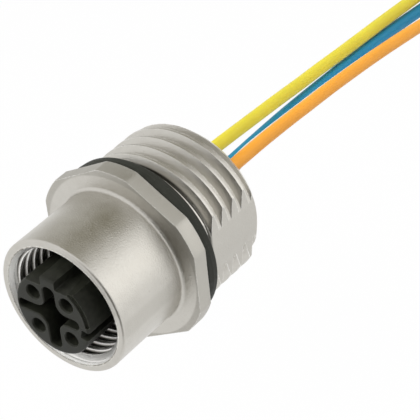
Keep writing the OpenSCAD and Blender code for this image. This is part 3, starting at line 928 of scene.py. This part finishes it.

# %% [markdown]
# ### Satin nickel
#
# Nickel is a warm grey metal. The shell was blasted before plating, so it has a
# silky grain with faint lathe marks under it. Edges are burnished, and a painted
# highlight whitens them further; the milled faces are a little darker. Painted
# shade darkens the hollows of the inner thread and the undercut behind the
# flange, and a painted highlight lightens the inner thread's crests and the
# mouth's countersink. Where a face lies is told by its distance from the axis
# and its place along it.

# %% Satin nickel plate
nickel = Finish("satin_nickel", Metallic=1.0)
grained = nickel.use(grain, Size=0.16 * MM)
lathed = nickel.use(lathe, Feed=0.07 * MM)
# The edge mask marks burnished wear, and its coat below also paints the edges near white as a
# painted highlight.
worn_and_glint = nickel.use(wear_and_glint, Radius=0.13 * MM)["Mask"]
where = nickel.xyz(nickel.place)
out = nickel.from_axis(where)
facing = nickel.xyz(nickel.add("ShaderNodeNewGeometry", output="Normal"))
milled_flat = nickel.times(nickel.spread(facing["X"], 0.985, 0.995), 0.45)
milled = nickel.maths("MAXIMUM", nickel.spread(out, 8.25 * MM, 8.45 * MM), milled_flat)
behind = nickel.spread(where["Y"], -10.72 * MM, -10.62 * MM)
# Painted shade: the hollows of the inner thread are painted near black.
tap_hollow_shade = nickel.times(nickel.between(out, (5.62, 5.78), (6.08, 6.02)), behind)
# Painted highlight: the crests of the inner thread are painted near white.
tap_crest_highlight = nickel.times(nickel.between(out, (5.5, 5.53), (5.68, 5.60)), behind)
# Painted shade: the undercut groove between the seal and the first outer thread is painted near
# black.
undercut_shade = nickel.times(nickel.between(out, (7.45, 7.25), (6.9, 6.98)),
                        nickel.between(where["Y"], (1.5, 1.1), (-1.7, -1.5)))
# Painted highlight: the countersink at the mouth is painted pale, so it stays bright whatever it
# reflects.
mouth_cut_highlight = nickel.times(nickel.between(out, (5.4, 5.5), (6.13, 6.09)),
                         nickel.maths("SUBTRACT", 1.0, behind))
# Coats: grain, milled faces, burnished edges with a painted highlight, specks, then the painted
# highlight and painted shade of the inner thread, the painted shade of the undercut and the
# painted highlight of the mouth.
nickel.paint(
    (0.570, 0.550, 0.505), (grained["Mask"], (0.602, 0.583, 0.538), 1),
    (milled, (0.500, 0.483, 0.440), 1), (worn_and_glint, (1.0, 0.995, 0.97), 1),
    (nickel.specked(0.35 * MM, 0.03), (0.40, 0.38, 0.33), 0.35),
    (tap_crest_highlight, (0.98, 0.97, 0.94), 1), (tap_hollow_shade, (0.05, 0.048, 0.042), 1),
    (undercut_shade, (0.06, 0.058, 0.05), 1), (mouth_cut_highlight, (0.88, 0.87, 0.84), 1))
# Less metal where the mouth's countersink carries its painted highlight.
nickel.put(nickel.spread(mouth_cut_highlight, 0.0, 1.0, 1.0, 0.55), nickel.shader["Metallic"])
silk = nickel.spread(grained["Mask"], 0.0, 1.0, 0.28, 0.32)
silk = nickel.maths("ADD", silk, nickel.times(milled, 0.16))
nickel.put(nickel.maths("ADD", silk, nickel.times(worn_and_glint, -0.1)), nickel.shader["Roughness"])
nickel.bump((grained["Height"], 0.04 * MM), (lathed["Height"], 0.0015 * MM))
print("satin nickel:", len(nickel.tree.nodes), "nodes")

# %% [markdown]
# ### Plastics, rubber and resin
#
# The carrier and the tie are nylon with a soft shine. Their edges are painted
# lighter, partly as wear and partly as a painted highlight. The seal is a matt
# dark rubber that picks up pale dust. The resin is smoother and a little glossy,
# with a skin that is slightly uneven.

# %% Black glass-filled nylon of the carrier and the tie, and a greyer one inside
def moulded_plastic(name, dark, light, rough_low, rough_high, depth):
    plastic = Finish(name, IOR=1.53, Specular_IOR_Level=0.22)
    skin = plastic.use(grain, Size=0.06 * MM)
    worn_and_glint = plastic.use(wear_and_glint, Radius=0.07 * MM)["Mask"]
    # The edge coat is partly wear and partly a painted highlight on the edges.
    plastic.paint(dark, (skin["Mask"], light, 1), (worn_and_glint, [v * 3.4 + 0.02 for v in light], 0.8),
                  (plastic.specked(0.12 * MM, 0.06), [v * 3 for v in light], 0.25))
    plastic.rough(skin["Mask"], rough_low, rough_high)
    plastic.bump((skin["Height"], depth))
    return plastic


carrier_black = moulded_plastic("carrier_black", (0.014, 0.0146, 0.0105),
                                (0.0215, 0.0225, 0.0165), 0.42, 0.52, 0.002 * MM)
retainer_grey = moulded_plastic("retainer_grey", (0.045, 0.045, 0.045), (0.06, 0.06, 0.058),
                                0.45, 0.55, 0.002 * MM)
tie_black = moulded_plastic("tie_black", (0.012, 0.012, 0.013), (0.02, 0.02, 0.021),
                            0.32, 0.42, 0.001 * MM)
print("three moulded plastics")

# %% Seal rubber
rubber = Finish("seal_rubber_dark", IOR=1.5, Specular_IOR_Level=0.25)
skin = rubber.use(grain, Size=0.08 * MM)
rubber.paint((0.018, 0.019, 0.014), (skin["Mask"], (0.028, 0.029, 0.023), 1),
             (rubber.specked(0.14 * MM, 0.10), (0.16, 0.16, 0.14), 0.3))
rubber.rough(skin["Mask"], 0.55, 0.7)
rubber.bump((skin["Height"], 0.004 * MM))

# %% Casting resin
resin_black = Finish("resin_black", IOR=1.55)
skin = resin_black.use(grain, Size=0.5 * MM)
resin_black.paint((0.010, 0.010, 0.010), (skin["Mask"], (0.018, 0.018, 0.017), 1),
                  (resin_black.specked(0.18 * MM, 0.04), (0.12, 0.12, 0.11), 0.3))
resin_black.rough(skin["Mask"], 0.18, 0.32)
resin_black.bump((skin["Height"], 0.02 * MM))
print("rubber and resin ready")

# %% [markdown]
# ### Gold and tin
#
# The sockets are gold over nickel, seen only deep in their holes and round the
# solder cups. The strands are tinned, which looks like a duller silver.

# %% Two plated metals
def plated(name, first, second, rough_low, rough_high, size):
    metal = Finish(name, Metallic=1.0)
    skin = metal.use(grain, Size=size)
    marks = metal.use(lathe, Feed=0.05 * MM)
    metal.paint(first, (skin["Mask"], second, 1))
    metal.rough(skin["Mask"], rough_low, rough_high)
    metal.bump((skin["Height"], 0.001 * MM), (marks["Height"], 0.0008 * MM))
    return metal


gold = plated("gold_flash", (0.86, 0.60, 0.24), (0.92, 0.69, 0.33), 0.18, 0.28, 0.1 * MM)
tin = plated("tinned_strand", (0.60, 0.58, 0.55), (0.70, 0.69, 0.67), 0.25, 0.4, 0.15 * MM)
print("gold and tin ready")

# %% [markdown]
# ### The leads' covering
#
# Soft PVC is evenly coloured and has a low gloss. It is drawn through a die, so
# very fine marks run along it. They are one-dimensional noise round the tube,
# read from the UV map that the sweep left, whose first axis goes round.

# %% Four colours of the same covering
def covering(name, colour, shade_by):
    pvc = Finish(name, IOR=1.53, Specular_IOR_Level=0.3)
    wall = pvc.add("ShaderNodeUVMap", uv_map="along")
    marks = pvc.streaks(pvc.xyz(wall)["X"], 40.0, 2.0)
    skin = pvc.use(grain, Size=0.12 * MM)
    slow = pvc.use(grain, Size=1.2 * MM)
    deep = [v * shade_by for v in colour]
    pvc.paint(deep, (slow["Mask"], colour, 1), (skin["Mask"], deep, 0.25),
              (pvc.specked(0.25 * MM, 0.03), (0.75, 0.74, 0.70), 0.2))
    pvc.rough(skin["Mask"], 0.42, 0.55)
    pvc.bump((skin["Height"], 0.004 * MM), (marks, 0.004 * MM))
    return pvc


coverings = {
    "yellow": covering("pvc_yellow", (0.80, 0.69, 0.05), 0.9),
    "orange": covering("pvc_orange", (0.98, 0.41, 0.04), 0.94),
    "white": covering("pvc_white", (0.78, 0.78, 0.75), 0.95),
    "blue": covering("pvc_blue", (0.016, 0.255, 0.47), 0.86),
}
print("coverings:", list(coverings))

# %% Every piece and every solid that stays gets its finish
def give(obj, finish):
    obj.data.materials.clear()
    obj.data.materials.append(finish.material)


def give_solid(node, finish):
    obj = frame["nodes"][node]
    for part in [obj] + list(obj.children_recursive):
        if part.type == "MESH":
            for slot in part.material_slots:
                slot.link = "OBJECT"
                slot.material = finish.material
            if not part.material_slots:
                part.data.materials.append(finish.material)


give(housing, nickel)
give(carrier, carrier_black)
give(seal, rubber)
give(resin, resin_black)
for piece in tie:
    give(piece, tie_black)
SOLID_FINISH = {"housing": nickel, "panel_seal": rubber, "contact_carrier": carrier_black,
                "carrier_seal": rubber, "contact_retainer": retainer_grey,
                "potting": resin_black, "lead_coil": coverings["yellow"], "coil_tie": tie_black}
for n in range(1, 5):
    SOLID_FINISH[f"socket_{n}"] = gold
    SOLID_FINISH[f"conductor_{n}"] = tin
for colour in leads:
    give(leads[colour], coverings[colour])
    give(bare_ends[colour], tin)
    SOLID_FINISH["lead_" + colour] = coverings[colour]
    SOLID_FINISH["bare_end_" + colour] = tin
for node, finish in SOLID_FINISH.items():
    give_solid(node, finish)
print(len(SOLID_FINISH), "solids have finishes")

# %% [markdown]
# # The studio
#
# A metal part shows what stands round it, so the studio matters as much as the
# finish. The surroundings are white. Curved cards, seen only in reflections,
# make the barrel run from bright to dark: a bright screen behind it on the
# right, dull warm ones above, and dark ones in front.

# %% World: white where it is seen or mirrored, softer where it only lights
def seen(nodes):
    """1 for what the camera sees, also by a mirror or glass, and 0 for plain light."""
    path = nodes.add("ShaderNodeLightPath", output=None)
    straight = nodes.maths("MAXIMUM", path["Is Camera Ray"], path["Is Glossy Ray"])
    return nodes.maths("MAXIMUM", straight, path["Is Transmission Ray"])


world = bpy.data.worlds.new("studio")
bpy.context.scene.world = world
world.use_nodes = True
sky = Nodes(world.node_tree)
background = sky.tree.nodes["Background"].inputs
background["Color"].default_value = (1, 1, 1, 1)
sky.put(sky.add("ShaderNodeMapRange", {"Value": seen(sky), "To Min": 0.34, "To Max": 1.0},
                "Result"), background["Strength"])
bpy.context.scene.view_settings.view_transform = "Standard"
print("world ready")

# %% The floor keeps a soft shadow and is otherwise white
FLOOR_SIZE, FLOOR_Z, FLOOR_GLOW = 3.0, -0.06, 0.95


def stage_mesh(name, verts, faces):
    mesh = bpy.data.meshes.new(name)
    mesh.from_pydata([Vector(v) for v in verts], [], faces)
    material = bpy.data.materials.new(name + "_light")
    material.use_nodes = True
    mesh.materials.append(material)
    return linked(name, mesh), Masks(material.node_tree)


def light_mix(nodes, share, other, radiance):
    """The surface of a stage piece: its own shader, and light over a share of it."""
    glow = nodes.add("ShaderNodeEmission", {"Color": (*radiance, 1), "Strength": 1.0})
    mixed = nodes.add("ShaderNodeMixShader", {0: share, 1: other, 2: glow})
    nodes.put(mixed, nodes.tree.nodes["Material Output"].inputs["Surface"])


corners = [(-1, -1), (1, -1), (1, 1), (-1, 1)]
floor, paint = stage_mesh(
    "floor", [(FLOOR_SIZE * x, FLOOR_SIZE * y, FLOOR_Z) for x, y in corners], [(0, 1, 2, 3)])
shader = paint.tree.nodes["Principled BSDF"]
shader.inputs["Base Color"].default_value = (0.9, 0.9, 0.9, 1)
shader.inputs["Roughness"].default_value = 0.9
light_mix(paint, paint.times(seen(paint), FLOOR_GLOW), shader.outputs[0], (1, 1, 1))
print("floor at", FLOOR_Z, "m")

# %% [markdown]
# A card is a patch of a sphere round the part, given by the directions that it
# covers. Its rim fades out, so that its reflection has no hard border.

# %% Curved cards that only reflections see
CARD_STEPS = 16


def direction(azimuth, height):
    """Azimuth 0 is towards -Y and 90 towards +X. The height is an angle too."""
    a, e = math.radians(azimuth), math.radians(height)
    return Vector((math.sin(a) * math.cos(e), -math.cos(a) * math.cos(e), math.sin(e)))


def card(name, azimuths, heights, radiance, soft=0.25, distance=0.7):
    n = CARD_STEPS
    verts, faces = [], []
    for i in range(n + 1):
        for k in range(n + 1):
            verts.append(direction(azimuths[0] + (azimuths[1] - azimuths[0]) * k / n,
                                   heights[0] + (heights[1] - heights[0]) * i / n) * distance)
            a = i * (n + 1) + k
            if i < n and k < n:
                faces.append((a, a + 1, a + n + 2, a + n + 1))
    obj, light = stage_mesh(name, verts, faces)
    uv = obj.data.uv_layers.new(name="card")
    for loop in obj.data.loops:
        i, k = divmod(loop.vertex_index, n + 1)
        uv.data[loop.index].uv = (k / n, i / n)
    light.tree.nodes.remove(light.tree.nodes["Principled BSDF"])
    spot = light.xyz(light.add("ShaderNodeUVMap", uv_map="card"))
    fades = []
    for axis in ("X", "Y"):
        away = light.maths("ABSOLUTE", light.maths("ADD", spot[axis], -0.5), 0.0)
        fades.append(light.spread(away, 0.5, 0.5 - soft))
    light_mix(light, light.times(*fades), light.add("ShaderNodeBsdfTransparent"), radiance)
    obj.visible_camera = obj.visible_diffuse = obj.visible_shadow = False
    return obj


cards = [
    card("screen_bright", (95, 155), (-8, 52), (1.55, 1.54, 1.52)),
    card("card_dull_top", (147, 246), (31, 88), (0.23, 0.21, 0.14), soft=0.13, distance=0.68),
    card("card_dull_left", (214, 262), (0, 50), (0.55, 0.54, 0.50), distance=0.66),
    card("card_dark_front", (-12, 78), (-26, 44), (0.06, 0.055, 0.04), soft=0.3, distance=0.62),
    card("card_dark_table", (-14, 62), (-40, 2), (0.10, 0.095, 0.075), soft=0.3, distance=0.075),
    card("card_low", (110, 250), (-80, -14), (0.88, 0.87, 0.84), distance=0.64),
]
print(len(cards), "cards")

# %% Lamps: a key from the front left, one high on the right, and one over the leads
def lamp(name, azimuth, height, distance, size, power):
    data = bpy.data.lights.new(name, "AREA")
    data.shape, data.size, data.energy = "SQUARE", size, power
    obj = linked(name, data)
    away = direction(azimuth, height)
    obj.location = away * distance
    obj.rotation_mode = "QUATERNION"
    obj.rotation_quaternion = away.to_track_quat("Z", "Y")
    obj.visible_glossy = False


lamp("key", -38, 38, 0.6, 0.3, 2.6)
lamp("top", 70, 70, 0.7, 0.5, 1.2)
lamp("behind", 150, 52, 0.25, 0.12, 0.2)
print("three lamps")
